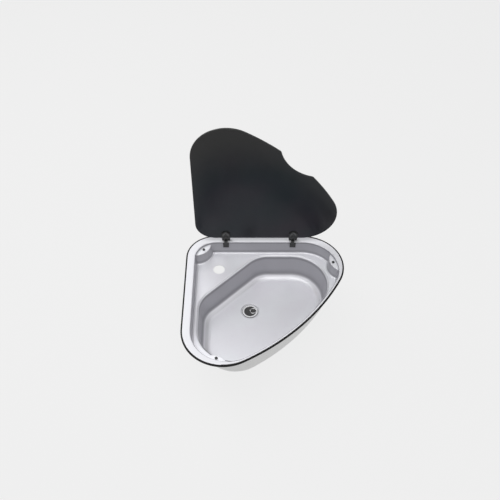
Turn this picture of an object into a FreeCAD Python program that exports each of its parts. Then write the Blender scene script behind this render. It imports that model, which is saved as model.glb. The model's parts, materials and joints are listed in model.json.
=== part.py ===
"""Corner sink for a camper worktop, with a tap ledge, a hinged glass lid and a plug waste.

Millimetres. Z is up and Z = 0 is the worktop that the rim's seal rests on. X runs right
along the straight back edge and Y runs back. The origin is on the seal's face, where it
crosses the sink's diagonal at the square back left corner. Plan places are written as
distances from the rim's left and back edges, because the sink is symmetric about that
diagonal. The lid is shown open, as far as its hinges let it go.
"""
import FreeCAD
import Part
import math
import os

V = FreeCAD.Vector
UP = V(0, 0, 1)
RIGHT = V(1, 0, 0)
BACKWARD = V(0, 1, 0)
ROOT2 = math.sqrt(2)
TINY = 1e-4

# ---- pressed steel sink
SHEET = 1.0                 # steel thickness
RIM_SIZE = 524.0            # left edge to right tip, and back edge to front tip
RIM_BULGE = 27.8            # how far the middle of the long edge bows out past the tips
RIM_CORNER_R = 92.0         # rounding of the square corner
RIM_TIP_R = 131.0           # rounding of the two tips
RIM_TOP = 6.0               # rim's height over the worktop
RIM_BEND = 3.0              # rolled outer edge of the rim
SKIRT_END = 2.4             # where the rolled edge stops, above the worktop

RECESS_INSET = 26.0         # flange width along the straight edges
RECESS_TIP_INSET = 14.5     # and at the tips
RECESS_LONG_INSET = 7.8     # and at the middle of the long edge
RECESS_CORNER_R = 70.0
RECESS_TIP_STEP = 13.0      # its tips are rounded this much less than the rim's
RECESS_DEPTH = 51.0         # rim top to tap ledge
RECESS_DRAFT = 5.0          # degrees
RECESS_TOP_BEND = 3.0
RECESS_FOOT_BEND = 6.0

LEDGE_SIDE = 19.5           # recess edge to bowl edge along the straight edges
LEDGE_TIP = 36.0            # and at the tips
LEDGE_LONG = 19.5           # and at the middle of the long edge
BOWL_SIDE_R = 90.0          # between the diagonal edge and the straight edges
BOWL_TIP_STEP = 2.0         # its tips are rounded this much more than the recess's
BOWL_DIAGONAL = 200.5       # square corner to the bowl's diagonal edge
BOWL_DEPTH = 95.0           # tap ledge to bowl floor
BOWL_DRAFT = 6.0
BOWL_TOP_BEND = 8.0
BOWL_FOOT_BEND = 30.0

TAP_HOLE_R = 19.5
TAP_PLACE = 106.5           # same distance from the left and the back edge

# ---- ledges in the three corners that the closed lid rests on
SHELF_DROP = 9.0            # rim top to shelf
SHELF_R = 50.0              # its curved inner edge
SHELF_DRAFT = 8.0
SHELF_EDGE_BEND = 2.0
SHELF_FOOT_BEND = 5.0
CORNER_SHELF_OUT = 96.0     # shelf's centre from the centre of the square corner's rounding
TIP_SHELF_OUT = 147.0       # and from the centre of a tip's rounding
TIP_SHELF_ANGLE = 18.0      # its bearing, towards the square corner, in degrees
BUFFER_EDGE_GAP = 10.7      # rubber buffer's centre inside the recess wall
BUFFER_HEAD_R = 4.6
BUFFER_NECK_R = 2.2
BUFFER_BARB_R = 3.0
BUFFER_BARB = 4.0           # length under the shelf
BUFFER_TIP_R = 1.5
BUFFER_ROUND = 1.2
BUFFER_GAP = 0.3            # free height under the closed lid

# ---- rubber seal under the rim
SEAL_LIP = 3.2              # beyond the rim
SEAL_INSIDE = 4.6           # under the rim
SEAL_LIP_HEIGHT = 5.6
SEAL_BEND = 0.8
FIT = 0.05                  # face to face clearance of pressed and seated parts

# ---- glass lid
GLASS = 5.0
GLASS_GAP = 2.8             # to the recess edge along the left edge
GLASS_TIP_GAP = 9.5         # and at the tips
GLASS_LONG_GAP = 9.6        # and at the middle of the long edge
GLASS_SETBACK = 3.0         # the whole lid sits this much further from the back edge
GLASS_CORNER_STEP = 4.3     # its square corner is rounded this much less than the recess's
GLASS_TIP_STEP = 4.0        # and its tips too
GLASS_EDGE = 0.8            # polished edge
NOTCH_R = 133.0             # finger notch in the long edge
NOTCH_DEPTH = 25.0
NOTCH_CORNER_R = 11.0
LID_OPEN = 90.0             # degrees

# ---- hinges
LEFT_HINGE_RUN = 34.0       # its middle, past the end of the recess's corner rounding
RIGHT_HINGE_RUN = 31.5      # its middle, before the start of the recess's tip rounding
PIVOT_BEHIND = 10.0         # behind the recess edge
PIVOT_HEIGHT = 12.2
PIN_R = 2.0
PIN_INSET = 0.5             # its ends lie this far inside the ears
PIN_CHAMFER = 0.4
RUNNING = 0.06              # pin in its turning holes
KNUCKLE_R = 5.2
KNUCKLE_WIDTH = 11.0
WASHER = 0.5
WASHER_R = 4.8
SIDE_GAP = 0.15
LEAF_WIDTH = 28.0
LEAF = 4.2                  # thickness
LEAF_LENGTH = 32.0          # on the glass
LEAF_CORNER = 1.0
LEAF_ROUND = 1.0            # along the upper face's edge
CHEEK_HIGH = 11.2           # the leaf's ears stay high this far in front of the pivot
CHEEK_RUN = 19.2            # and run out this far in front of it
CHEEK_BEND = 4.0
HEEL_ROUND = 0.6
HEEL = 5.9                  # stop heel, down to the rim when the lid is open
PAD = 1.0
PAD_MARGIN = 1.6
PAD_INSIDE = 0.6            # pads and plates start this far inside the glass edge
PLATE = 3.5                 # plate on the glass's lower face
PLATE_ROUND = 1.2
FIELD_BACK = 8.5            # the plate's sunk field, behind the screw
FIELD_FRONT = 9.5           # and in front of it
FIELD_HALF = 10.5
FIELD_CORNER = 3.0
FIELD_DEPTH = 1.1
SCREW_PLACE = 17.0          # from the glass's back edge
SCREW_R = 2.5
SCREW_HEAD_R = 4.6
SCREW_HEAD = 2.4
SCREW_HEAD_ROUND = 0.7
SCREW_DRIVE_R = 1.4         # hexagon socket, to its corners
SCREW_DRIVE = 1.5
SCREW_SHORT = 1.4           # its tip ends this far inside the leaf
BUSH_R = 4.5
BASE_WIDTH = 20.0
BASE_STAND = 5.0            # front face, in front of the recess edge
BASE_FOOT = -16.5           # its lower end
BASE_SHOULDER = 5.4         # top of the wide block
BASE_NECK_TOP = 10.6
BASE_NECK_BEND = 3.0
BASE_ROUND = 1.0
BASE_WELT = 1.6             # its top edge keeps this far in front of the rim's bend
BASE_SCREW_R = 1.75
BASE_SCREW_HEAD_R = 3.2
BASE_SCREW_HEAD = 1.8
BASE_SCREW_SPREAD = 10.0
BASE_SCREW_HEIGHT = -8.5
BASE_SCREW_LENGTH = 11.0
CROSS_SPAN = 4.0            # cross recess in its head
CROSS_WIDTH = 0.8
CROSS_DEPTH = 0.9
NUT_PLATE = 2.0
NUT_PLATE_HEIGHT = 13.0
NUT_PLATE_WIDTH = 24.0

# ---- waste
DRAIN_PLACE = 213.0         # same distance from the left and the back edge
DRAIN_DISH_R = 31.0
DRAIN_DISH = 3.0
DRAIN_BEND = 1.6
FLANGE_R = 27.8
FLANGE = 1.4
FLANGE_ROUND = 0.5
TAIL_R = 20.5
TAIL_WALL = 2.0
TAIL_LENGTH = 30.0
TAIL_GAP = 0.5
SEAT_R = 20.6               # top of the conical seat that the plug closes
SEAT_DEPTH = 9.0
CROSS_BAR = 3.0
CROSS_BAR_DEPTH = 4.0
CROSS_BAR_ROOT = 0.5        # into the tail's wall
CROSS_BAR_GAP = 1.0         # under the plug
GASKET = 1.0
GASKET_R = 26.3
TAIL_GASKET = 3.0
TAIL_GASKET_R = 29.0
NUT_R = 30.0
NUT = 7.0
NUT_STEP = 3.0              # its body is this much narrower than its top face
NUT_FACE = 2.0              # thickness of the top face
NUT_LUGS = 6
NUT_LUG = 5.0
UNION_R = 25.0
UNION_RISE = 9.0            # over the tail's lower end
UNION_FOOT = 3.0            # its floor, under the elbow's collar
UNION_ROUND = 1.0
UNION_RIBS = 12
UNION_RIB_R = 1.4
COLLAR = 2.5                # elbow's collar
ELBOW_R = 15.5
ELBOW_WALL = 2.5
ELBOW_BEND_R = 21.0
ELBOW_DROP = 8.0            # straight length under the collar
SPIGOT_R = 12.5
SPIGOT = 34.0
SPIGOT_WALL = 2.2
SPIGOT_TIP = 1.0            # its tapered end
HOSE_STOP = 4.0
OUTLET_BEARING = 135.0      # degrees from +X: towards the square corner

PLUG_HEIGHT = 10.5
PLUG_PROUD = 0.6            # over the flange
PLUG_LIP = 1.9              # depth of the lip that fits the seat's mouth
PLUG_GAP = 0.3
PLUG_ROUND = 0.4
PLUG_TAPER = 0.8            # at its foot
PLUG_WELL_R = 6.4           # sunk field round the eye
PLUG_WELL = 0.8
EYE_WIRE = 0.8
EYE_R = 2.4
EYE_ROOT = 6.0              # length inside the plug
RING_R = 10.0               # centre line of the pull ring
RING_WIRE = 1.0
RING_RISE = 1.2             # the wire's centre over the plug

# ---- outlines that follow from these: sizes as the rim's, radii and places
RIM_REACH = RIM_SIZE / ROOT2 + RIM_TIP_R + RIM_BULGE    # square corner to the long edge
RECESS_SIZE = RIM_SIZE - RECESS_TIP_INSET
RECESS_REACH = RIM_REACH - RECESS_LONG_INSET
RECESS_TIP_R = RIM_TIP_R - RECESS_TIP_STEP
BOWL_INSET = RECESS_INSET + LEDGE_SIDE
BOWL_SIZE = RECESS_SIZE - LEDGE_TIP
BOWL_REACH = RECESS_REACH - LEDGE_LONG
BOWL_TIP_R = RECESS_TIP_R + BOWL_TIP_STEP
GLASS_INSET = RECESS_INSET + GLASS_GAP
GLASS_SIZE = RECESS_SIZE - GLASS_TIP_GAP
GLASS_REACH = RECESS_REACH - GLASS_LONG_GAP
GLASS_CORNER_R = RECESS_CORNER_R - GLASS_CORNER_STEP
GLASS_TIP_R = RECESS_TIP_R - GLASS_TIP_STEP

HINGE_PLACES = (
    ("left", RECESS_INSET + RECESS_CORNER_R + LEFT_HINGE_RUN),
    ("right", RECESS_SIZE - RECESS_TIP_R - RIGHT_HINGE_RUN),
)
PIVOT_BACK = RECESS_INSET - PIVOT_BEHIND
BASE_FACE = RECESS_INSET + BASE_STAND

# ---- where things are
RIM_UNDER = RIM_TOP - SHEET
DECK = RIM_TOP - RECESS_DEPTH
FLOOR = DECK - BOWL_DEPTH
SHELF = RIM_TOP - SHELF_DROP
ORIGIN_INSIDE = (SEAL_INSIDE - SEAL_LIP) / 2
CORNER = RIM_CORNER_R - (RIM_CORNER_R - ORIGIN_INSIDE) / ROOT2
LEFT = -CORNER
BACK = CORNER
GLASS_UNDER = RIM_TOP - GLASS
GLASS_BACK = GLASS_INSET + GLASS_SETBACK


def plan(x, y, z=0.0):
    """Point x from the rim's left edge and y from its back edge."""
    return V(LEFT + x, BACK - y, z)


def bend(points, place, closed=False):
    """Edges of a line through points (u, v, bend radius) with tangent arcs at its corners."""
    count = len(points)
    corners = [place(p[0], p[1]) for p in points]
    cuts = []
    for i, point in enumerate(points):
        here = corners[i]
        radius = point[2] if len(point) > 2 else 0
        if radius < TINY:
            cuts.append((here, None, here))
            continue
        back = (corners[i - 1] - here).normalize()
        ahead = (corners[(i + 1) % count] - here).normalize()
        half = back.getAngle(ahead) / 2
        inward = (back + ahead).normalize()
        middle = here + inward * (radius / math.sin(half) - radius)
        reach = radius / math.tan(half)
        cuts.append((here + back * reach, middle, here + ahead * reach))
    edges = []
    for i, (start, middle, end) in enumerate(cuts):
        if middle is not None:
            edges.append(Part.Arc(start, middle, end).toShape())
        if i + 1 < count or closed:
            following = cuts[(i + 1) % count][0]
            if (following - end).Length > TINY:
                edges.append(Part.LineSegment(end, following).toShape())
    return edges


def upright(u, v):
    return V(u, 0, v)


def turned(points, centre):
    """Solid of revolution about the vertical through centre, from (radius, z, bend) points."""
    face = Part.Face(Part.Wire(bend(points, upright, closed=True)))
    return face.revolve(V(0, 0, 0), UP, 360).translated(V(centre.x, centre.y, 0))


def side_plate(points, middle, width):
    """Plate from (distance from the back edge, z, bend) points, centred on x = middle."""
    x = LEFT + middle - width / 2
    face = Part.Face(Part.Wire(bend(points, lambda u, v: V(x, BACK - u, v), closed=True)))
    return face.extrude(RIGHT * width)


def flat_plate(points, bottom, top):
    """Plate from plan points (x, y, bend), between two heights."""
    face = Part.Face(Part.Wire(bend(points, lambda u, v: plan(u, v, bottom), closed=True)))
    return face.extrude(UP * (top - bottom))


def rod(centre, radius, length, axis=UP):
    return Part.makeCylinder(radius, length, centre, axis)


# ---- rounded outlines and the pans swept round them

def corner_outline(inset, size, reach, corner_r, tip_r, setback=0.0):
    """Clockwise arcs (centre x, centre y, radius, start, end) of a rounded corner shape.

    The square corner, a tip, the long bulged edge and the other tip follow each other.
    Straight lines join the arcs that don't touch.
    """
    far, near = size - tip_r, inset + tip_r
    along, across = (far + near) / ROOT2, (far - near) / ROOT2
    long_r = (tip_r ** 2 - (along - reach) ** 2 - across ** 2) / (2 * (along - reach + tip_r))
    middle = (reach - long_r) / ROOT2
    turn = math.degrees(math.atan2(middle - near, far - middle))
    rows = [
        (inset + corner_r, inset + corner_r, corner_r, 180, 90),
        (far, near, tip_r, 90, turn),
        (middle, middle, long_r, turn, -90 - turn),
        (near, far, tip_r, -90 - turn, -180),
    ]
    return [(LEFT + x, BACK - y - setback, r, start, end) for x, y, r, start, end in rows]


def bowl_outline():
    """The bowl's outline: its square corner is cut off by a diagonal edge."""
    arcs = corner_outline(BOWL_INSET, BOWL_SIZE, BOWL_REACH, BOWL_SIDE_R, BOWL_TIP_R)
    near = BOWL_INSET + BOWL_SIDE_R
    far = (BOWL_DIAGONAL + BOWL_SIDE_R) * ROOT2 - near
    sides = [
        (LEFT + near, BACK - far, BOWL_SIDE_R, 180, 135),
        (LEFT + far, BACK - near, BOWL_SIDE_R, 135, 90),
    ]
    return sides + arcs[1:]


def arc_point(arc, angle, outwards=0.0, z=0.0):
    x, y, radius = arc[:3]
    bearing = math.radians(angle)
    reach = radius + outwards
    return V(x + reach * math.cos(bearing), y + reach * math.sin(bearing), z)


def outline_wire(arcs, outwards=0.0, z=0.0):
    edges = []
    for arc, following in zip(arcs, arcs[1:] + arcs[:1]):
        start, end = arc[3], arc[4]
        stops = [arc_point(arc, a, outwards, z) for a in (start, (start + end) / 2, end)]
        edges.append(Part.Arc(*stops).toShape())
        onward = arc_point(following, following[3], outwards, z)
        if (onward - stops[2]).Length > TINY:
            edges.append(Part.LineSegment(stops[2], onward).toShape())
    return Part.Wire(edges)


def outline_plate(arcs, outwards, bottom, top):
    return Part.Face(outline_wire(arcs, outwards, bottom)).extrude(UP * (top - bottom))


def swept_faces(arcs, profile):
    """Faces that a profile's edges sweep round an outline; the profile's x points outwards."""
    faces = []
    for arc, following in zip(arcs, arcs[1:] + arcs[:1]):
        x, y, _, start, end = arc
        for edge in profile:
            placed = edge.copy()
            placed.Placement = FreeCAD.Placement(arc_point(arc, start), FreeCAD.Rotation(UP, start))
            faces.append(placed.revolve(V(x, y, 0), -UP, start - end))
        here, onward = arc_point(arc, end), arc_point(following, following[3])
        if (onward - here).Length > TINY:
            for edge in profile:
                placed = edge.copy()
                placed.Placement = FreeCAD.Placement(here, FreeCAD.Rotation(UP, end))
                faces.append(placed.extrude(onward - here))
    return faces


def sewn(faces):
    """Solid that a closed set of faces bounds."""
    shell = Part.makeShell(faces)
    shell.sewShape()
    solid = Part.makeSolid(shell)
    if solid.Volume < 0:
        solid.reverse()
    return solid


def swept_solid(arcs, profile, first, last):
    """Solid between an outline's swept profile and flat faces at its first and last point."""
    caps = [Part.Face(outline_wire(arcs, end.x, end.z)) for end in (first, last)]
    return sewn(swept_faces(arcs, profile) + caps)


def pan(arcs, top, bottom, top_bend, foot_bend, draft, below=0.0):
    """Space inside a pressed pan, or the outside of its sheet if below is the thickness."""
    lean = math.tan(math.radians(draft))
    shift = below / math.cos(math.radians(draft))
    lead = 2 * (top_bend + foot_bend)
    upper, lower = top - below, bottom - below
    rim_x, foot_x = shift - lean * below, shift - lean * (top - lower)
    edges = bend([
        (rim_x + lead, upper),
        (rim_x, upper, top_bend - below),
        (foot_x, lower, foot_bend + below),
        (foot_x - lead, lower),
    ], upright)
    profile = edges[1:-1]
    return swept_solid(arcs, profile, edges[0].Vertexes[-1].Point, edges[-1].Vertexes[0].Point)


# ---- the sink

RIM_ARCS = corner_outline(0.0, RIM_SIZE, RIM_REACH, RIM_CORNER_R, RIM_TIP_R)
RECESS_ARCS = corner_outline(RECESS_INSET, RECESS_SIZE, RECESS_REACH, RECESS_CORNER_R,
                             RECESS_TIP_R)
GLASS_ARCS = corner_outline(GLASS_INSET, GLASS_SIZE, GLASS_REACH, GLASS_CORNER_R, GLASS_TIP_R,
                            GLASS_SETBACK)


def shelf_places():
    """Centre of each shelf's curved edge, and of its buffer: square corner, right, front."""
    corner, right, _, front = RECESS_ARCS
    rows = [
        (corner, 135.0, CORNER_SHELF_OUT),
        (right, TIP_SHELF_ANGLE, TIP_SHELF_OUT),
        (front, -90.0 - TIP_SHELF_ANGLE, TIP_SHELF_OUT),
    ]
    places = []
    for arc, bearing, out in rows:
        places.append((arc_point(arc, bearing, out - arc[2]),
                       arc_point(arc, bearing, -BUFFER_EDGE_GAP)))
    return places


def shelf_post(centre, below=0.0):
    """Block under a shelf, flared at its foot; with below, the hollow under its sheet."""
    lean = math.tan(math.radians(SHELF_DRAFT))
    shift = below / math.cos(math.radians(SHELF_DRAFT))
    top, deck = SHELF - below, DECK - below
    foot = SHELF_R + lean * (SHELF - deck) - shift
    base = deck - 2 * SHEET
    return turned([
        (0, top),
        (SHELF_R + lean * below - shift, top, SHELF_EDGE_BEND - below),
        (foot, deck, SHELF_FOOT_BEND + below),
        (foot + SHELF_FOOT_BEND, deck),
        (foot + SHELF_FOOT_BEND, base),
        (0, base),
    ], centre)


def drain_dish(below=0.0):
    """Round step in the bowl floor that the waste flange sits in."""
    top, foot = FLOOR - below, FLOOR - DRAIN_DISH - below
    radius = DRAIN_DISH_R + below
    return turned([
        (0, top + SHEET),
        (radius + 2 * DRAIN_BEND, top + SHEET),
        (radius + 2 * DRAIN_BEND, top),
        (radius, top, DRAIN_BEND - below / 2),
        (radius, foot, DRAIN_BEND + below / 2),
        (0, foot),
    ], plan(DRAIN_PLACE, DRAIN_PLACE))


def rim_cap(below=0.0):
    """Rim slab with its rolled down edge; with below, the space under it."""
    skirt_end = SKIRT_END - below
    edges = bend([
        (-3 * RIM_BEND, RIM_TOP - below),
        (-below, RIM_TOP - below, RIM_BEND - below),
        (-below, skirt_end),
    ], upright)
    end = edges[-1].Vertexes[-1].Point
    return swept_solid(RIM_ARCS, edges[1:], edges[0].Vertexes[-1].Point, end)


def pressed_space(below):
    """All that lies inside the pressing, or inside its underside."""
    recess = pan(RECESS_ARCS, RIM_TOP, DECK, RECESS_TOP_BEND, RECESS_FOOT_BEND, RECESS_DRAFT,
                 below)
    for centre, _ in shelf_places():
        recess = recess.cut(shelf_post(centre, below))
    bowl = pan(bowl_outline(), DECK, FLOOR, BOWL_TOP_BEND, BOWL_FOOT_BEND, BOWL_DRAFT, below)
    return recess.fuse(bowl).fuse(drain_dish(below))


def sink_bowl():
    rim = rim_cap().cut(rim_cap(SHEET))
    sink = rim.fuse(pressed_space(SHEET)).cut(pressed_space(0.0))
    tap = plan(TAP_PLACE, TAP_PLACE, DECK - 2 * SHEET)
    drain = plan(DRAIN_PLACE, DRAIN_PLACE, FLOOR - DRAIN_DISH - 2 * SHEET)
    holes = [rod(tap, TAP_HOLE_R, 4 * SHEET), rod(drain, TAIL_R + TAIL_GAP, 4 * SHEET)]
    for _, buffer in shelf_places():
        holes.append(rod(V(buffer.x, buffer.y, SHELF - 2 * SHEET), BUFFER_NECK_R, 4 * SHEET))
    for _, middle in HINGE_PLACES:
        for x in screw_columns(middle):
            holes.append(rod(plan(x, BASE_FACE, BASE_SCREW_HEIGHT), BASE_SCREW_R + FIT,
                             BASE_FACE, BACKWARD))
    return sink.cut(Part.makeCompound(holes))


def rim_seal():
    """Channel of rubber that holds the rim's rolled edge and rests on the worktop."""
    groove = SHEET + 2 * FIT
    edges = bend([
        (-SEAL_INSIDE, 0, SEAL_BEND),
        (SEAL_LIP, 0, SEAL_BEND),
        (SEAL_LIP, SEAL_LIP_HEIGHT, SEAL_BEND),
        (FIT, SEAL_LIP_HEIGHT),
        (FIT, SKIRT_END - FIT),
        (FIT - groove, SKIRT_END - FIT),
        (FIT - groove, RIM_TOP - RIM_BEND),
        (-RIM_BEND, RIM_UNDER - FIT),
        (-SEAL_INSIDE, RIM_UNDER - FIT),
    ], upright, closed=True)
    return sewn(swept_faces(RIM_ARCS, edges))


def lid_buffers():
    """Push-in rubber buffers, one in each shelf, that the closed lid rests on."""
    head = GLASS_UNDER - BUFFER_GAP
    barb_top = SHELF - SHEET - FIT
    neck = BUFFER_NECK_R - FIT
    buffers = []
    for _, centre in shelf_places():
        buffers.append(turned([
            (0, head),
            (BUFFER_HEAD_R, head, BUFFER_ROUND),
            (BUFFER_HEAD_R, SHELF + FIT),
            (neck, SHELF + FIT),
            (neck, barb_top),
            (BUFFER_BARB_R, barb_top),
            (BUFFER_TIP_R, barb_top - BUFFER_BARB),
            (0, barb_top - BUFFER_BARB),
        ], centre))
    return Part.makeCompound(buffers)


# ---- the lid, built closed and then swung open

def opened(shape):
    """The shape as it stands when the lid is open."""
    swung = shape.copy()
    swung.rotate(plan(0, PIVOT_BACK, PIVOT_HEIGHT), RIGHT, -LID_OPEN)
    return swung


def glass_lid():
    glass = outline_plate(GLASS_ARCS, 0.0, GLASS_UNDER, RIM_TOP)
    centre = (GLASS_REACH - NOTCH_DEPTH + NOTCH_R) / ROOT2
    notch = plan(centre, centre + GLASS_SETBACK, GLASS_UNDER - GLASS)
    glass = glass.cut(rod(notch, NOTCH_R, 3 * GLASS))
    corners = []
    for edge in glass.Edges:
        a, b = edge.Vertexes[0].Point, edge.Vertexes[-1].Point
        upright_edge = math.hypot(a.x - b.x, a.y - b.y) < TINY and abs(a.z - b.z) > GLASS / 2
        if upright_edge and abs(math.hypot(a.x - notch.x, a.y - notch.y) - NOTCH_R) < TINY:
            corners.append(edge)
    glass = glass.makeFillet(NOTCH_CORNER_R, corners)
    arrises = [edge for edge in glass.Edges if abs(edge.BoundBox.ZLength) < TINY]
    glass = glass.makeChamfer(GLASS_EDGE, arrises)
    for _, middle in HINGE_PLACES:
        glass = glass.cut(rod(clamp_axis(middle, GLASS_UNDER - 1), BUSH_R + FIT, GLASS + 2))
    return opened(glass)


def clamp_axis(middle, z):
    return plan(middle, GLASS_BACK + SCREW_PLACE, z)


def tongue(middle, margin, start, bottom, top):
    """Plate with a half round front end, on either face of the glass."""
    half = LEAF_WIDTH / 2 + margin
    end = GLASS_BACK + LEAF_LENGTH + margin
    return flat_plate([
        (middle - half, start, LEAF_CORNER),
        (middle - half, end, half - TINY),
        (middle + half, end, half - TINY),
        (middle + half, start, LEAF_CORNER),
    ], bottom, top)


def softened(shape, radius, height):
    """Rounds the outer edges of a plate's face at one height."""
    edges = [e for e in shape.Edges if abs(e.BoundBox.ZMin - height) < TINY
             and e.BoundBox.ZLength < TINY]
    return shape.makeFillet(radius, edges)


def hinge_leaf(middle):
    """Leaf on the lid's upper face, with two ears that turn on the pin."""
    bottom = RIM_TOP + PAD
    top = bottom + LEAF
    ear_inside = KNUCKLE_WIDTH / 2 + WASHER + SIDE_GAP
    ear = LEAF_WIDTH / 2 - ear_inside
    leaf = softened(tongue(middle, 0.0, PIVOT_BACK + KNUCKLE_R, bottom, top), LEAF_ROUND, top)
    slot = flat_plate([
        (middle - ear_inside, 0),
        (middle - ear_inside, BASE_FACE + PAD_INSIDE, LEAF_CORNER),
        (middle + ear_inside, BASE_FACE + PAD_INSIDE, LEAF_CORNER),
        (middle + ear_inside, 0),
    ], bottom - LEAF, top + LEAF)
    leaf = leaf.cut(slot)
    for side in (-1, 1):
        place = middle + side * (ear_inside + ear / 2)
        cheek = side_plate([
            (PIVOT_BACK - HEEL, PIVOT_HEIGHT, HEEL_ROUND),
            (PIVOT_BACK - HEEL, PIVOT_HEIGHT + KNUCKLE_R, HEEL_ROUND),
            (PIVOT_BACK + CHEEK_HIGH, PIVOT_HEIGHT + KNUCKLE_R, CHEEK_BEND),
            (PIVOT_BACK + CHEEK_RUN, top - LEAF_ROUND / 2),
            (PIVOT_BACK + CHEEK_RUN, bottom + LEAF_ROUND / 2),
            (PIVOT_BACK + KNUCKLE_R, bottom),
            (PIVOT_BACK, bottom),
        ], place, ear)
        drum = rod(plan(place - ear / 2, PIVOT_BACK, PIVOT_HEIGHT), KNUCKLE_R, ear, RIGHT)
        leaf = leaf.fuse(cheek).fuse(drum)
    bore = rod(plan(middle - LEAF_WIDTH, PIVOT_BACK, PIVOT_HEIGHT), PIN_R + RUNNING,
               2 * LEAF_WIDTH, RIGHT)
    thread = rod(clamp_axis(middle, bottom - 1), SCREW_R + FIT, LEAF)
    return opened(leaf.cut(bore).cut(thread).removeSplitter())


def upper_pad(middle):
    pad = tongue(middle, PAD_MARGIN, GLASS_BACK + PAD_INSIDE, RIM_TOP, RIM_TOP + PAD)
    return opened(pad.cut(rod(clamp_axis(middle, RIM_TOP - 1), SCREW_R + FIT, PAD + 2)))


def lower_pad(middle):
    pad = tongue(middle, PAD_MARGIN, GLASS_BACK + PAD_INSIDE, GLASS_UNDER - PAD, GLASS_UNDER)
    return opened(pad.cut(rod(clamp_axis(middle, GLASS_UNDER - PAD - 1), SCREW_R + FIT, PAD + 2)))


def clamp_plate(middle):
    """Plate on the lid's lower face, with a three-cornered sunk field for the screw's head."""
    top = GLASS_UNDER - PAD
    bottom = top - PLATE
    plate = softened(tongue(middle, 0.0, GLASS_BACK + PAD_INSIDE, bottom, top),
                     PLATE_ROUND, bottom)
    screw_y = GLASS_BACK + SCREW_PLACE
    field = flat_plate([
        (middle - FIELD_HALF, screw_y - FIELD_BACK, FIELD_CORNER),
        (middle, screw_y + FIELD_FRONT, FIELD_CORNER),
        (middle + FIELD_HALF, screw_y - FIELD_BACK, FIELD_CORNER),
    ], bottom - 1, bottom + FIELD_DEPTH)
    seat = rod(clamp_axis(middle, bottom - 1), SCREW_HEAD_R + FIT, SCREW_HEAD + 1 + FIT)
    return opened(plate.cut(field).cut(seat).cut(rod(clamp_axis(middle, bottom - 1),
                                                     SCREW_R + FIT, PLATE + 2)))


def glass_bush(middle):
    """Sleeve that keeps the clamp screw off the glass."""
    bush = rod(clamp_axis(middle, GLASS_UNDER + FIT), BUSH_R, GLASS - 2 * FIT)
    return opened(bush.cut(rod(clamp_axis(middle, 0), SCREW_R + FIT, 2 * GLASS)))


def clamp_screw(middle):
    bottom = GLASS_UNDER - PAD - PLATE
    tip = RIM_TOP + PAD + LEAF - SCREW_SHORT
    axis = clamp_axis(middle, 0)
    screw = turned([
        (0, bottom),
        (SCREW_HEAD_R, bottom, SCREW_HEAD_ROUND),
        (SCREW_HEAD_R, bottom + SCREW_HEAD),
        (SCREW_R, bottom + SCREW_HEAD),
        (SCREW_R, tip),
        (0, tip),
    ], axis)
    drive = Part.makePolygon([V(axis.x + SCREW_DRIVE_R * math.cos(math.radians(a)),
                                axis.y + SCREW_DRIVE_R * math.sin(math.radians(a)),
                                bottom) for a in range(0, 361, 60)])
    return opened(screw.cut(Part.Face(drive).extrude(UP * SCREW_DRIVE)))


def wall_back(z, outside=False):
    """Distance from the back edge to the recess wall at height z."""
    lean = math.radians(RECESS_DRAFT)
    inner = RECESS_INSET + math.tan(lean) * (RIM_TOP - z)
    return inner - SHEET / math.cos(lean) if outside else inner


def screw_columns(middle):
    return (middle - BASE_SCREW_SPREAD / 2, middle + BASE_SCREW_SPREAD / 2)


def hinge_base(middle):
    """Block on the recess wall, with a neck over the rim that carries the pin's knuckle."""
    block = side_plate([
        (wall_back(BASE_SHOULDER - RECESS_TOP_BEND) + FIT, BASE_SHOULDER - RECESS_TOP_BEND),
        (wall_back(BASE_SHOULDER) + BASE_WELT, BASE_SHOULDER),
        (BASE_FACE, BASE_SHOULDER, BASE_ROUND),
        (BASE_FACE, BASE_FOOT, BASE_ROUND),
        (wall_back(BASE_FOOT) + FIT, BASE_FOOT),
    ], middle, BASE_WIDTH)
    neck = side_plate([
        (PIVOT_BACK, RIM_TOP + FIT),
        (RECESS_INSET - 1, RIM_TOP + FIT),
        (wall_back(BASE_SHOULDER) + BASE_WELT, BASE_SHOULDER - 1),
        (BASE_FACE, BASE_SHOULDER - 1),
        (BASE_FACE, BASE_NECK_TOP, BASE_NECK_BEND),
        (PIVOT_BACK, BASE_NECK_TOP),
    ], middle, KNUCKLE_WIDTH)
    start = plan(middle - KNUCKLE_WIDTH / 2, PIVOT_BACK, PIVOT_HEIGHT)
    base = block.fuse(neck).fuse(rod(start, KNUCKLE_R, KNUCKLE_WIDTH, RIGHT))
    base = base.cut(rod(start - RIGHT, PIN_R, KNUCKLE_WIDTH + 2, RIGHT))
    for x in screw_columns(middle):
        face = plan(x, BASE_FACE + 1, BASE_SCREW_HEIGHT)
        base = base.cut(rod(face, BASE_SCREW_HEAD_R + FIT, BASE_SCREW_HEAD + 1 + FIT, BACKWARD))
        base = base.cut(rod(face, BASE_SCREW_R + FIT, BASE_FACE, BACKWARD))
    return base.removeSplitter()


def base_screws(middle):
    screws = []
    for x in screw_columns(middle):
        face = plan(x, BASE_FACE, BASE_SCREW_HEIGHT)
        head = rod(face, BASE_SCREW_HEAD_R, BASE_SCREW_HEAD, BACKWARD)
        shank = rod(face, BASE_SCREW_R, BASE_SCREW_LENGTH, BACKWARD)
        long_half, short_half = CROSS_SPAN / 2, CROSS_WIDTH / 2
        cross = Part.makeBox(CROSS_SPAN, CROSS_DEPTH, CROSS_WIDTH,
                             face - V(long_half, 0, short_half))
        upright_cross = Part.makeBox(CROSS_WIDTH, CROSS_DEPTH, CROSS_SPAN,
                                     face - V(short_half, 0, long_half))
        screws.append(head.fuse(shank).cut(cross).cut(upright_cross))
    return Part.makeCompound(screws)


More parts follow.
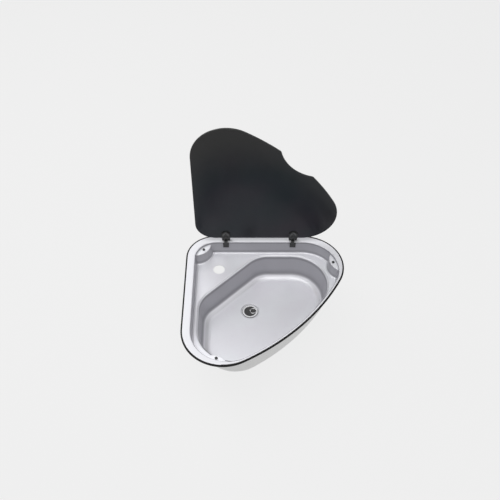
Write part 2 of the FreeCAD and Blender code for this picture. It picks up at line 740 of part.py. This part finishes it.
def nut_plate(middle):
    """Tapped plate behind the recess wall."""
    top = BASE_SCREW_HEIGHT + NUT_PLATE_HEIGHT / 2
    foot = BASE_SCREW_HEIGHT - NUT_PLATE_HEIGHT / 2
    plate = side_plate([
        (wall_back(top, True) - FIT, top),
        (wall_back(foot, True) - FIT, foot),
        (wall_back(foot, True) - FIT - NUT_PLATE, foot),
        (wall_back(top, True) - FIT - NUT_PLATE, top),
    ], middle, NUT_PLATE_WIDTH)
    for x in screw_columns(middle):
        plate = plate.cut(rod(plan(x, BASE_FACE, BASE_SCREW_HEIGHT), BASE_SCREW_R + FIT,
                              BASE_FACE, BACKWARD))
    return plate


def hinge_pin(middle):
    start = plan(middle - LEAF_WIDTH / 2 + PIN_INSET, PIVOT_BACK, PIVOT_HEIGHT)
    pin = rod(start, PIN_R, LEAF_WIDTH - 2 * PIN_INSET, RIGHT)
    return pin.makeChamfer(PIN_CHAMFER, [e for e in pin.Edges if e.BoundBox.XLength < TINY])


def friction_washers(middle):
    washers = []
    for side in (-1, 1):
        centre = middle + side * (KNUCKLE_WIDTH / 2 + SIDE_GAP / 2 + WASHER / 2)
        start = plan(centre - WASHER / 2, PIVOT_BACK, PIVOT_HEIGHT)
        disc = rod(start, WASHER_R, WASHER, RIGHT)
        washers.append(disc.cut(rod(start - RIGHT, PIN_R, WASHER + 2, RIGHT)))
    return Part.makeCompound(washers)


# ---- the waste, down from the bowl floor

DRAIN = plan(DRAIN_PLACE, DRAIN_PLACE)
DISH_FLOOR = FLOOR - DRAIN_DISH
FLANGE_TOP = DISH_FLOOR + GASKET + FLANGE
SINK_UNDER = DISH_FLOOR - SHEET
TAIL_END = SINK_UNDER - TAIL_LENGTH
NUT_TOP = SINK_UNDER - TAIL_GASKET
BORE_R = TAIL_R - TAIL_WALL
COLLAR_TOP = TAIL_END - GASKET - 2 * FIT
PLUG_TOP = FLANGE_TOP + PLUG_PROUD


def waste_flange():
    """Steel flange with a conical plug seat, a tail and cross bars in its bore."""
    seat_foot = FLANGE_TOP - SEAT_DEPTH
    flange = turned([
        (SEAT_R, FLANGE_TOP, FLANGE_ROUND),
        (FLANGE_R, FLANGE_TOP, FLANGE_ROUND),
        (FLANGE_R, FLANGE_TOP - FLANGE),
        (TAIL_R, FLANGE_TOP - FLANGE),
        (TAIL_R, TAIL_END),
        (BORE_R, TAIL_END),
        (BORE_R, seat_foot),
    ], DRAIN)
    top = PLUG_TOP - PLUG_HEIGHT - CROSS_BAR_GAP
    half = BORE_R + CROSS_BAR_ROOT
    bars = []
    for turn in (45, 135):
        bar = Part.makeBox(2 * half, CROSS_BAR, CROSS_BAR_DEPTH,
                           V(-half, -CROSS_BAR / 2, top - CROSS_BAR_DEPTH))
        bar.rotate(V(0, 0, 0), UP, turn)
        bars.append(bar.translated(V(DRAIN.x, DRAIN.y, 0)))
    return flange.fuse(bars[0]).fuse(bars[1])


def ring_plate(outer, inner, bottom, top):
    return turned([(inner, bottom), (outer, bottom), (outer, top), (inner, top)], DRAIN)


def flange_gasket():
    return ring_plate(GASKET_R, TAIL_R + FIT, DISH_FLOOR, DISH_FLOOR + GASKET)


def tail_gasket():
    return ring_plate(TAIL_GASKET_R, TAIL_R + FIT, NUT_TOP, SINK_UNDER)


def back_nut():
    """Ring nut that pulls the flange down, with grip lugs round it."""
    foot = NUT_TOP - NUT
    body = ring_plate(NUT_R - NUT_STEP, TAIL_R + FIT, foot, NUT_TOP - NUT_FACE)
    nut = body.fuse(ring_plate(NUT_R, TAIL_R + FIT, NUT_TOP - NUT_FACE, NUT_TOP))
    for i in range(NUT_LUGS):
        lug = Part.makeBox(2 * NUT_STEP, NUT_LUG, NUT - NUT_FACE,
                           V(NUT_R - 2 * NUT_STEP, -NUT_LUG / 2, foot))
        lug.rotate(V(0, 0, 0), UP, i * 360 / NUT_LUGS)
        nut = nut.fuse(lug.translated(V(DRAIN.x, DRAIN.y, 0)))
    return nut.removeSplitter()


def union_washer():
    return ring_plate(TAIL_R - FIT, ELBOW_R - ELBOW_WALL, TAIL_END - GASKET - FIT, TAIL_END - FIT)


def union_nut():
    """Ribbed nut that holds the elbow's collar up against the tail."""
    top = TAIL_END + UNION_RISE
    ledge = COLLAR_TOP - COLLAR - FIT
    foot = ledge - UNION_FOOT
    skin = UNION_R - UNION_RIB_R
    nut = turned([
        (TAIL_R + FIT, top),
        (skin, top, UNION_ROUND),
        (skin, foot, UNION_ROUND),
        (ELBOW_R + FIT, foot),
        (ELBOW_R + FIT, ledge),
        (TAIL_R + FIT, ledge),
    ], DRAIN)
    for i in range(UNION_RIBS):
        rib = rod(V(skin, 0, foot + UNION_RIB_R), UNION_RIB_R, top - foot - 2 * UNION_RIB_R)
        rib.rotate(V(0, 0, 0), UP, i * 360 / UNION_RIBS)
        nut = nut.fuse(rib.translated(V(DRAIN.x, DRAIN.y, 0)))
    return nut


def waste_elbow():
    """Quarter bend with a collar above and a plain hose spigot to the side."""
    turn_z = COLLAR_TOP - COLLAR - ELBOW_DROP

    def tube(radius):
        down = rod(V(0, 0, turn_z), radius, COLLAR_TOP - turn_z)
        circle = Part.Face(Part.Wire(Part.makeCircle(radius, V(0, 0, turn_z))))
        quarter = circle.revolve(V(ELBOW_BEND_R, 0, 0) + V(0, 0, turn_z), BACKWARD, -90)
        return down, quarter

    outer, outer_turn = tube(ELBOW_R)
    inner, inner_turn = tube(ELBOW_R - ELBOW_WALL)
    start = V(ELBOW_BEND_R, 0, turn_z - ELBOW_BEND_R)
    straight = SPIGOT - SPIGOT_TIP
    tip = Part.makeCone(SPIGOT_R, SPIGOT_R - SPIGOT_TIP, SPIGOT_TIP, start + RIGHT * straight,
                        RIGHT)
    spigot = rod(start, SPIGOT_R, straight, RIGHT).fuse(tip)
    bore = rod(start - RIGHT, SPIGOT_R - SPIGOT_WALL, SPIGOT + 2, RIGHT)
    elbow = outer.fuse(outer_turn).fuse(spigot).fuse(rod(start, ELBOW_R, HOSE_STOP, RIGHT))
    elbow = elbow.fuse(rod(V(0, 0, COLLAR_TOP - COLLAR), TAIL_R - FIT, COLLAR))
    elbow = elbow.cut(inner.fuse(inner_turn)).cut(bore)
    elbow.rotate(V(0, 0, 0), UP, OUTLET_BEARING)
    return elbow.translated(V(DRAIN.x, DRAIN.y, 0))


# ---- the plug, its eye and its pull ring

def plug():
    """Tapered rubber plug with a lip that lies in the mouth of the seat."""
    foot = PLUG_TOP - PLUG_HEIGHT
    slope = (SEAT_R - BORE_R) / SEAT_DEPTH
    lip = SEAT_R - slope * PLUG_LIP - PLUG_GAP
    neck = BORE_R - PLUG_GAP
    body = turned([
        (0, PLUG_TOP - PLUG_WELL),
        (PLUG_WELL_R - PLUG_WELL, PLUG_TOP - PLUG_WELL),
        (PLUG_WELL_R, PLUG_TOP),
        (lip, PLUG_TOP, PLUG_ROUND),
        (lip, FLANGE_TOP - PLUG_LIP),
        (neck, FLANGE_TOP - SEAT_DEPTH),
        (neck - PLUG_TAPER, foot, PLUG_TAPER),
        (0, foot),
    ], DRAIN)
    return body.cut(plug_eye())


def arch(radius, wire, base):
    """Half ring of wire that stands on its two ends, open along Y."""
    circle = Part.Face(Part.Wire(Part.makeCircle(wire, V(radius, 0, base), UP)))
    return circle.revolve(V(0, 0, base), BACKWARD, -180)


def plug_eye():
    """Wire staple moulded into the plug: the ring hangs in it."""
    spring = PLUG_TOP + RING_RISE
    bow = arch(EYE_R, EYE_WIRE, spring)
    legs = [rod(V(side * EYE_R, 0, PLUG_TOP - EYE_ROOT), EYE_WIRE, EYE_ROOT + RING_RISE)
            for side in (-1, 1)]
    return bow.fuse(legs[0]).fuse(legs[1]).translated(V(DRAIN.x, DRAIN.y, 0))


def plug_ring():
    """Pull ring, lying to the right on the plug."""
    centre = V(DRAIN.x + RING_R, DRAIN.y, PLUG_TOP + RING_RISE)
    return Part.makeTorus(RING_R, RING_WIRE, centre, UP)


def main():
    nodes = {
        "sink_bowl": sink_bowl(),
        "rim_seal": rim_seal(),
        "lid_buffers": lid_buffers(),
        "glass_lid": glass_lid(),
        "waste_flange": waste_flange(),
        "flange_gasket": flange_gasket(),
        "tail_gasket": tail_gasket(),
        "back_nut": back_nut(),
        "union_washer": union_washer(),
        "union_nut": union_nut(),
        "waste_elbow": waste_elbow(),
        "plug": plug(),
        "plug_eye": plug_eye(),
        "plug_ring": plug_ring(),
    }
    pieces = (hinge_base, base_screws, nut_plate, hinge_pin, friction_washers, hinge_leaf,
              upper_pad, lower_pad, clamp_plate, glass_bush, clamp_screw)
    for side, middle in HINGE_PLACES:
        for piece in pieces:
            nodes[side + "_" + piece.__name__] = piece(middle)
    os.makedirs("parts", exist_ok=True)
    for name, shape in nodes.items():
        if not shape.isValid():
            print("not valid:", name)
        box = shape.BoundBox
        print(f"{name}: {len(shape.Solids)} solid, {shape.Volume:.0f} mm3,"
              f" x {box.XMin:.1f} {box.XMax:.1f}, y {box.YMin:.1f} {box.YMax:.1f},"
              f" z {box.ZMin:.1f} {box.ZMax:.1f}")
        shape.exportStep("parts/" + name + ".step")


main()
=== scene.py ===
"""Studio scene of a corner sink with its glass lid open.

Metres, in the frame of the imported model: +X right, +Y back, +Z up out of the worktop.
"""
import json
import math

import bpy
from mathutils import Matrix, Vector


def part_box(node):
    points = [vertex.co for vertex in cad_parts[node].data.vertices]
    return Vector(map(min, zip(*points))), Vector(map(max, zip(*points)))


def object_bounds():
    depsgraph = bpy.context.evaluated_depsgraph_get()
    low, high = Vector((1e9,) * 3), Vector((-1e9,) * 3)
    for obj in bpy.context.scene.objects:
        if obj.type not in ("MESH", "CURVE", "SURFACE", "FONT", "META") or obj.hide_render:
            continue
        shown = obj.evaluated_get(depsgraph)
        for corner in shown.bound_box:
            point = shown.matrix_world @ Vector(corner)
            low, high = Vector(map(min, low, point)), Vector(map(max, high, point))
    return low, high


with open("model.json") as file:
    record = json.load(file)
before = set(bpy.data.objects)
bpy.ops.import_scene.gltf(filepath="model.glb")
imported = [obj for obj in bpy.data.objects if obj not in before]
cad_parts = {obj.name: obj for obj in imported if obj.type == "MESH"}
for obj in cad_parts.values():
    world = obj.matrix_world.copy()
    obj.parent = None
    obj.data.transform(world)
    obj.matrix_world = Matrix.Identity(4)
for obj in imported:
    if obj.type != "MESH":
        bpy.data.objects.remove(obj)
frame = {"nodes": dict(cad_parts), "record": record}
cad_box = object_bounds()
nodes = frame["nodes"]

# ---- camera
CAMERA_PLACE = (0.186912, -1.648571, 1.809323)
CAMERA_TILT = math.radians(41.775)
CAMERA_LENS = 51.02
SENSOR_WIDTH = 36.0                 # millimetres, as the lens is
CAMERA_SHIFT = 0.001                # half a pixel

# ---- studio
MIDDLE = (0.2, -0.2, 0.0)           # over the bowl; the lamps point at it
BACKGROUND = 0.871                  # pale grey of the floor and the backdrop
AMBIENT = 0.25                      # strength of the world as a light
FLOOR_SIZE = 30.0
FLOOR_GAP = 0.001                   # under the object's lowest point
FLOOR_SHADING = 0.07                # share of real shading, which shows the soft shadow
FLOOR_ALBEDO = 0.8
FLOOR_ROUGHNESS = 0.9
LAMPS = (                           # name, place, width and height, watts
    ("overhead", (-0.1, -0.6, 2.6), (2.8, 1.8), 48.0),
    ("front_left", (-2.2, -2.2, 1.8), (1.6, 1.6), 5.0),
    ("right", (2.0, -0.9, 1.7), (1.2, 1.2), 4.0),
    ("back_left", (-1.25, 1.3, 2.1), (2.0, 1.6), 29.0),
)

# ---- the pressed sheet's colours
PAN_DARK = (0.80, 0.79, 0.84)
PAN_LIGHT = (0.83, 0.842, 0.88)
FLECK = (0.62, 0.62, 0.64)
FLECK_SHARE = 0.12
# painted shade: the drawn wall faces are coloured darker than the level pans
WALL_SHADE = (0.36, 0.356, 0.385)
WALL_SHADE_SHARE = 0.84
GLARE_DIMMING_SHADE = (0.50, 0.50, 0.52)      # painted shade that takes the glare off the nearly level part of a bend
GLARE_DIMMING_SHARE = 0.5
# painted dark reflection and shade, used beside the bends and along the crests
PAINTED_BEND_SHADE = (0.17, 0.168, 0.185)
OUTER_FACE = (0.64, 0.64, 0.638)
RIM = (0.78, 0.782, 0.82)
# painted shade and dark reflection on the rolled outer edge
ROLLED_EDGE_SHADE = (0.02, 0.02, 0.02)
INNER_METAL = 0.20
OUTER_METAL = 0.80

# ---- slopes, as the upward part of a face's normal: 0 is upright and 1 is level
WALL_SLOPES = (0.3, 0.68)           # where the painted shade on a drawn wall face ends
BEND_SLOPES = (0.55, 0.85)          # the painted dark lines beside the bends end
# where the painted shade that dims the glare starts and ends
GLARE_DIM_START, GLARE_DIM_END = (0.70, 0.82), (0.93, 0.99)
CREST_SLOPES = (0.93, 0.98)
ROLLED_SLOPES = (0.90, 0.97)
UNDERSIDE_SLOPES = (-0.5, -0.1)
BACKWARD_PARTS = (0.12, 0.3)        # the normal's +Y part, for bends that face the back

# ---- heights over the worktop, and how much painted shade darkens the steel there
LOWEST, HIGHEST = -0.145, 0.006
PAINTED_BEND_LINES = (                      # painted dark reflections and shade beside the bends of each inner wall
    (LOWEST, 0), (-0.132, 0), (-0.1285, 0.5), (-0.123, 0.65), (-0.116, 0.25), (-0.102, 0.05),
    (-0.062, 0), (-0.057, 0.5), (-0.0535, 0.5), (-0.050, 0),
    (-0.041, 0), (-0.038, 0.35), (-0.034, 0.35), (-0.030, 0),
    (-0.0025, 0), (-0.0005, 0.5), (0.0025, 0.5), (0.0036, 0), (HIGHEST, 0))
PAINTED_CREST_LINES = (                     # painted dark lines along the crests of the bends in front
    (LOWEST, 0), (-0.0490, 0), (-0.0478, 0.8), (-0.0455, 0.8), (-0.0448, 0),
    (0.0038, 0), (0.0044, 0.8), (HIGHEST, 0.8))
RIM_HEIGHTS = (0.0035, 0.0055)      # between these the finish becomes the rim's
ROLLED_HEIGHTS = (0.001, 0.002)     # and the outer face takes the rolled edge's painted near-black shade
INWARD_PARTS = (-0.02, 0.0)         # the normal along the way out from MIDDLE: inner faces
OUTWARD_PARTS = (0.005, 0.02)       # outer faces

# ---- other finishes
DRAIN = (0.18556, -0.18556, 0.0)    # the waste's axis
CLAMP_BLACK = (0.005, 0.005, 0.005)
CLAMP_FIELD = (0.007, 0.007, 0.007)
LID_DARK = (0.012, 0.020, 0.024)
LID_LIGHT = (0.023, 0.021, 0.028)
LID_OUTER = (0.024, 0.024, 0.024)
LID_HEART = (0.19, 0, 0.10)         # the lid's tint is plainer away from here


# ---- node helpers

class Tree:
    """A material's nodes, with short calls to add and join them."""

    def __init__(self, name):
        self.material = bpy.data.materials.new(name)
        self.material.use_nodes = True
        self.nodes = self.material.node_tree.nodes
        self.links = self.material.node_tree.links
        self.nodes.clear()
        self.output = self.nodes.new("ShaderNodeOutputMaterial")
        self.shader = self.nodes.new("ShaderNodeBsdfPrincipled")
        self.links.new(self.shader.outputs[0], self.output.inputs["Surface"])
        self.place = self.nodes.new("ShaderNodeTexCoord").outputs["Object"]

    def set(self, **values):
        for name, value in values.items():
            self.shader.inputs[name.replace("_", " ")].default_value = value

    def join(self, value, name):
        self.links.new(value, self.shader.inputs[name])

    def mapped(self, scale, shift=(0, 0, 0)):
        node = self.nodes.new("ShaderNodeMapping")
        node.inputs["Scale"].default_value = scale
        node.inputs["Location"].default_value = shift
        self.links.new(self.place, node.inputs["Vector"])
        return node.outputs[0]

    def split(self, vector):
        """The X, Y and Z parts of a vector."""
        node = self.nodes.new("ShaderNodeSeparateXYZ")
        self.links.new(vector, node.inputs[0])
        return node.outputs

    def noise(self, scale, detail=2.0, roughness=0.5, stretch=(1, 1, 1)):
        node = self.nodes.new("ShaderNodeTexNoise")
        node.inputs["Scale"].default_value = scale
        node.inputs["Detail"].default_value = detail
        node.inputs["Roughness"].default_value = roughness
        self.links.new(self.mapped(stretch), node.inputs["Vector"])
        return node.outputs["Fac"]

    def spread(self, value, low, high, start=0.3, end=0.7):
        """Maps start..end to low..high. Without them it is a noise's usual range."""
        node = self.nodes.new("ShaderNodeMapRange")
        node.inputs["From Min"].default_value = start
        node.inputs["From Max"].default_value = end
        node.inputs["To Min"].default_value = low
        node.inputs["To Max"].default_value = high
        self.links.new(value, node.inputs["Value"])
        return node.outputs[0]

    def rise(self, value, span, most=1):
        """0 up to the start of the span, and most from its end."""
        return self.spread(value, 0, most, *span)

    def fall(self, value, span, most=1):
        """most up to the start of the span, and 0 from its end."""
        return self.spread(value, most, 0, *span)

    def ramp(self, value, stops):
        """A number that follows the stops (place, number), from the first to the last."""
        start, end = stops[0][0], stops[-1][0]
        node = self.nodes.new("ShaderNodeValToRGB")
        points = node.color_ramp.elements
        while len(points) < len(stops):
            points.new(0.5)
        for k, (place, number) in enumerate(stops):
            points[k].position = (place - start) / (end - start)
            points[k].color = (number, number, number, 1)
        self.links.new(self.spread(value, 0, 1, start, end), node.inputs[0])
        return node.outputs["Color"]

    def combined(self, operation, first, second):
        node = self.nodes.new("ShaderNodeMath")
        node.operation = operation
        self.links.new(first, node.inputs[0])
        self.links.new(second, node.inputs[1])
        return node.outputs[0]

    def product(self, first, *others):
        for other in others:
            first = self.combined("MULTIPLY", first, other)
        return first

    def away(self, centre, scale):
        """Distance from a line or point: the scale of an axis that doesn't count is 0."""
        node = self.nodes.new("ShaderNodeVectorMath")
        node.operation = "LENGTH"
        shift = [-c * s for c, s in zip(centre, scale)]
        self.links.new(self.mapped(scale, shift), node.inputs[0])
        return node.outputs["Value"]

    def mixed(self, factor, first, second):
        """Mixes two fixed colours."""
        node = self.nodes.new("ShaderNodeMix")
        node.data_type = "RGBA"
        node.inputs["A"].default_value = (*first, 1)
        node.inputs["B"].default_value = (*second, 1)
        self.links.new(factor, node.inputs["Factor"])
        return node.outputs["Result"]

    def blend(self, factor, first, second):
        """Mixes a colour socket with a fixed colour."""
        node = self.nodes.new("ShaderNodeMix")
        node.data_type = "RGBA"
        self.links.new(first, node.inputs["A"])
        node.inputs["B"].default_value = (*second, 1)
        self.links.new(factor, node.inputs["Factor"])
        return node.outputs["Result"]

    def ringed(self, colour, rings):
        """Past the start of each ring = (centre, scale, span, tint) the colour is its tint."""
        for centre, scale, span, tint in rings:
            colour = self.blend(self.rise(self.away(centre, scale), span), colour, tint)
        return colour

    def bump(self, height, strength, distance):
        node = self.nodes.new("ShaderNodeBump")
        node.inputs["Strength"].default_value = strength
        node.inputs["Distance"].default_value = distance
        self.links.new(height, node.inputs["Height"])
        self.links.new(node.outputs[0], self.shader.inputs["Normal"])


def grey(level):
    return (level, level, level)


# ---- finishes

def satin_steel(name, dark, light, rough, brush, bump, metallic=1.0, rings=()):
    """Satin metal, a little uneven in colour; brush is the grain's scale along each axis."""
    tree = Tree(name)
    tree.set(Metallic=metallic)
    grain = tree.noise(1.0, 3.0, 0.6, brush)
    cloud = tree.noise(9.0, 3.0, 0.5)
    tree.join(tree.ringed(tree.mixed(tree.spread(cloud, 0, 1), dark, light), rings), "Base Color")
    tree.join(tree.spread(grain, *rough), "Roughness")
    tree.bump(grain, bump, 0.0001)
    return tree.material


def pressed_steel():
    """The sink's sheet. The flange round the top is brightest, the flat pans are satin and the
    outside is bare grey metal.
    Painted shade darkens the drawn wall faces and dims the glare on the bends, and painted dark
    reflections lie beside the bends, along the crests in front and on the rolled edge."""
    tree = Tree("pressed_steel")
    grain = tree.noise(1.0, 3.0, 0.6, (60, 1800, 1800))
    speckle = tree.noise(420.0, 2.0, 0.7)
    cloud = tree.noise(9.0, 3.0, 0.5)

    # where a point lies, and which way its face points
    normal = tree.nodes.new("ShaderNodeNewGeometry").outputs["Normal"]
    height, backward, upward = tree.split(tree.place)["Z"], *tree.split(normal)[1:]
    dot = tree.nodes.new("ShaderNodeVectorMath")
    dot.operation = "DOT_PRODUCT"
    tree.links.new(tree.mapped((1, 1, 0), (-MIDDLE[0], -MIDDLE[1], 0)), dot.inputs[0])
    tree.links.new(normal, dot.inputs[1])
    outward = dot.outputs["Value"]

    # masks, each from 0 to 1 or to its share
    inside = tree.fall(outward, INWARD_PARTS)
    outer_side = tree.rise(outward, OUTWARD_PARTS)
    outside = tree.combined("MAXIMUM", outer_side, tree.fall(upward, UNDERSIDE_SLOPES))
    # painted shade, darker on the upright inner faces
    wall_shade = tree.product(tree.fall(upward, WALL_SLOPES, WALL_SHADE_SHARE), inside)
    # painted shade that dims the glare on the nearly level part of a bend
    glare_dimming_shade = tree.product(tree.rise(upward, GLARE_DIM_START, GLARE_DIMMING_SHARE),
                              tree.fall(upward, GLARE_DIM_END), inside)
    # painted dark reflections and shade beside the bends
    painted_bend_lines = tree.product(tree.ramp(height, PAINTED_BEND_LINES), tree.fall(upward, BEND_SLOPES), inside)
    rim = tree.rise(height, RIM_HEIGHTS)
    # painted dark reflection and shade along the crests of the bends that face the back
    painted_crest_lines = tree.product(tree.fall(upward, CREST_SLOPES), tree.rise(backward, BACKWARD_PARTS),
                          tree.ramp(height, PAINTED_CREST_LINES), inside)
    # painted near-black shade on the rolled outer edge
    rolled_edge_shade = tree.product(outer_side, tree.fall(upward, ROLLED_SLOPES),
                          tree.rise(height, ROLLED_HEIGHTS))

    colour = tree.mixed(tree.spread(cloud, 0, 1), PAN_DARK, PAN_LIGHT)
    for mask, tint in ((tree.spread(speckle, 0, FLECK_SHARE), FLECK), (wall_shade, WALL_SHADE),
                       (glare_dimming_shade, GLARE_DIMMING_SHADE), (painted_bend_lines, PAINTED_BEND_SHADE), (outside, OUTER_FACE),
                       (rim, RIM), (painted_crest_lines, PAINTED_BEND_SHADE), (rolled_edge_shade, ROLLED_EDGE_SHADE)):
        colour = tree.blend(mask, colour, tint)
    tree.join(colour, "Base Color")
    metal = tree.spread(outside, INNER_METAL, OUTER_METAL, 0, 1)
    tree.join(tree.product(metal, tree.fall(rim, (0, 1))), "Metallic")
    tree.join(tree.spread(grain, 0.27, 0.36), "Roughness")
    tree.bump(grain, 0.15, 0.0001)
    return tree.material


def plain_solid(name, dark, light, rough, grain, bump, rings=(), **values):
    """Rubber or moulded plastic: a little uneven in colour, with a fine grain."""
    tree = Tree(name)
    tree.set(**values)
    cloud = tree.noise(35.0, 4.0, 0.6)
    fine = tree.noise(grain, 2.0, 0.6)
    tree.join(tree.ringed(tree.mixed(tree.spread(cloud, 0, 1), dark, light), rings), "Base Color")
    tree.join(tree.spread(fine, *rough), "Roughness")
    tree.bump(fine, bump, 0.0002)
    return tree.material


def smoked_glass():
    """Dark safety glass, with faint wiping marks in its gloss."""
    tree = Tree("smoked_glass")
    tree.set(IOR=1.5, Specular_IOR_Level=0.25)
    cloud = tree.noise(5.0, 1.5, 0.5)
    wipe = tree.noise(14.0, 5.0, 0.65)
    tint = tree.mixed(tree.spread(cloud, 0, 1), LID_DARK, LID_LIGHT)
    outer_part = (LID_HEART, (1, 0, 1), (0.20, 0.36), LID_OUTER)
    tree.join(tree.ringed(tint, [outer_part]), "Base Color")
    tree.join(tree.spread(wipe, 0.16, 0.26), "Roughness")
    return tree.material


def clamp_plastic(side):
    """Dark grey, with a black edge all round the plate's face and black in its sunk field."""
    low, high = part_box(side + "_clamp_plate")
    round_middle = ((low.x + high.x) / 2, 0, high.z - (high.x - low.x) / 2)
    edge = (round_middle, (1, 0, 1), (0.0102, 0.0112), CLAMP_BLACK)
    field = (low, (0, 1, 0), (0.0004, 0.0007), CLAMP_FIELD)
    return plain_solid(side + "_clamp_plastic", (0.060, 0.062, 0.060), (0.082, 0.084, 0.082),
                       (0.30, 0.45), 3000.0, 0.18, [edge, field])


# a dark ring round the flange's edge: partly the sealant of the joint, partly painted shade at the
# bevel's edge
DRAIN_JOINT_AND_SHADE = (DRAIN, (1, 1, 0), (0.0256, 0.0266), (0.14, 0.14, 0.145))
MATERIALS = {                       # by the record's slots
    "steel": pressed_steel(),
    "waste_steel": satin_steel("polished_steel", (0.90, 0.90, 0.92), (0.94, 0.94, 0.96),
                               (0.22, 0.32), (400, 400, 400), 0.04, 0.3, [DRAIN_JOINT_AND_SHADE]),
    "bright_wire": satin_steel("bright_wire", (0.66, 0.66, 0.67), (0.76, 0.76, 0.77),
                               (0.14, 0.26), (900, 900, 900), 0.05),
    "screw_steel": satin_steel("screw_steel", (0.45, 0.45, 0.46), (0.58, 0.58, 0.59),
                               (0.25, 0.38), (1500, 1500, 1500), 0.08),
    "seal_rubber": plain_solid("seal_rubber", grey(0.003), grey(0.006), (0.65, 0.85), 2500.0,
                               0.15, Specular_IOR_Level=0.2),
    "buffer_rubber": plain_solid("buffer_rubber", (0.008, 0.008, 0.009), (0.013, 0.013, 0.015),
                                 (0.40, 0.55), 2500.0, 0.10),
    "gasket_rubber": plain_solid("gasket_rubber", grey(0.016), grey(0.024), (0.60, 0.80),
                                 2200.0, 0.15),
    "pad_rubber": plain_solid("pad_rubber", grey(0.006), grey(0.010), (0.55, 0.75), 2500.0, 0.10),
    "plug_rubber": plain_solid("plug_rubber", grey(0.034), grey(0.048), (0.40, 0.55), 1800.0,
                               0.12),
    "hinge_plastic": plain_solid("hinge_plastic", (0.013, 0.013, 0.014), (0.021, 0.021, 0.022),
                                 (0.35, 0.50), 3000.0, 0.18),
    "waste_plastic": plain_solid("waste_plastic", (0.76, 0.76, 0.74), (0.82, 0.82, 0.80),
                                 (0.35, 0.48), 1200.0, 0.10),
    "nylon": plain_solid("nylon", (0.66, 0.65, 0.60), (0.72, 0.71, 0.66), (0.35, 0.50), 1500.0,
                         0.08),
    "smoked_glass": smoked_glass(),
}
CLAMPS = {side: clamp_plastic(side) for side in ("left", "right")}
BLACK_SCREW = plain_solid("black_screw", grey(0.018), grey(0.028), (0.30, 0.42), 2500.0, 0.10)
SLOTS = {row["node"]: row["material_slot"] for row in frame["record"]["subparts"]}


def finish_of(name):
    """The finish of the node's slot. A clamp plate has one of its own, and the screws that are
    seen on the hinges are black."""
    if name.endswith("clamp_plate"):
        return CLAMPS[name.split("_")[0]]
    if name.endswith(("clamp_screw", "base_screws")):
        return BLACK_SCREW
    return MATERIALS[SLOTS[name]]


for name, node in nodes.items():
    node.data.materials.clear()
    node.data.materials.append(finish_of(name))


# ---- floor, backdrop and light

def seen_rays(tree):
    """1 for the rays that show a surface itself: camera, glossy and transmission rays."""
    ray = tree.nodes.new("ShaderNodeLightPath")
    seen = ray.outputs["Is Camera Ray"]
    for kind in ("Is Glossy Ray", "Is Transmission Ray"):
        larger = tree.nodes.new("ShaderNodeMath")
        larger.operation = "MAXIMUM"
        tree.links.new(seen, larger.inputs[0])
        tree.links.new(ray.outputs[kind], larger.inputs[1])
        seen = larger.outputs[0]
    return seen


def pale_floor():
    """Shows the background's colour, with a share of real shading for soft shadows."""
    tree = Tree("pale_floor")
    tree.set(Base_Color=(*grey(FLOOR_ALBEDO), 1), Roughness=FLOOR_ROUGHNESS)
    plain_share = tree.nodes.new("ShaderNodeMath")
    plain_share.operation = "MULTIPLY"
    plain_share.inputs[1].default_value = 1 - FLOOR_SHADING
    tree.links.new(seen_rays(tree), plain_share.inputs[0])
    glow = tree.nodes.new("ShaderNodeEmission")
    glow.inputs["Color"].default_value = (*grey(BACKGROUND), 1)
    mix = tree.nodes.new("ShaderNodeMixShader")
    tree.links.new(plain_share.outputs[0], mix.inputs[0])
    tree.links.new(tree.shader.outputs[0], mix.inputs[1])
    tree.links.new(glow.outputs[0], mix.inputs[2])
    tree.links.new(mix.outputs[0], tree.output.inputs["Surface"])
    return tree.material


def floor_plane():
    half = FLOOR_SIZE / 2
    corners = [(-half, -half, 0), (half, -half, 0), (half, half, 0), (-half, half, 0)]
    mesh = bpy.data.meshes.new("floor")
    mesh.from_pydata(corners, [], [(0, 1, 2, 3)])
    mesh.materials.append(pale_floor())
    plane = bpy.data.objects.new("floor", mesh)
    plane.location = (0, 0, cad_box[0].z - FLOOR_GAP)
    bpy.context.scene.collection.objects.link(plane)


def area_lamp(name, place, size, power):
    data = bpy.data.lights.new(name, "AREA")
    data.shape = "RECTANGLE"
    data.size, data.size_y = size
    data.energy = power
    lamp = bpy.data.objects.new(name, data)
    lamp.location = place
    lamp.rotation_euler = (Vector(MIDDLE) - Vector(place)).to_track_quat("-Z", "Y").to_euler()
    bpy.context.scene.collection.objects.link(lamp)


def pale_world():
    """The background's colour where it is seen, and a weaker light on the object."""
    world = bpy.data.worlds.new("studio")
    world.use_nodes = True
    tree = world.node_tree
    background = tree.nodes["Background"]
    background.inputs["Color"].default_value = (1, 1, 1, 1)
    level = tree.nodes.new("ShaderNodeMapRange")
    level.inputs["To Min"].default_value = AMBIENT
    level.inputs["To Max"].default_value = BACKGROUND
    tree.links.new(seen_rays(tree), level.inputs["Value"])
    tree.links.new(level.outputs[0], background.inputs["Strength"])
    bpy.context.scene.world = world


def photo_camera():
    data = bpy.data.cameras.new("camera")
    data.lens = CAMERA_LENS
    data.sensor_width = SENSOR_WIDTH
    data.shift_x = -CAMERA_SHIFT
    data.shift_y = CAMERA_SHIFT
    camera = bpy.data.objects.new("camera", data)
    camera.location = CAMERA_PLACE
    camera.rotation_euler = (CAMERA_TILT, 0, 0)
    bpy.context.scene.collection.objects.link(camera)
    bpy.context.scene.camera = camera


floor_plane()
for lamp in LAMPS:
    area_lamp(*lamp)
pale_world()
photo_camera()
bpy.context.scene.view_settings.view_transform = "Standard"
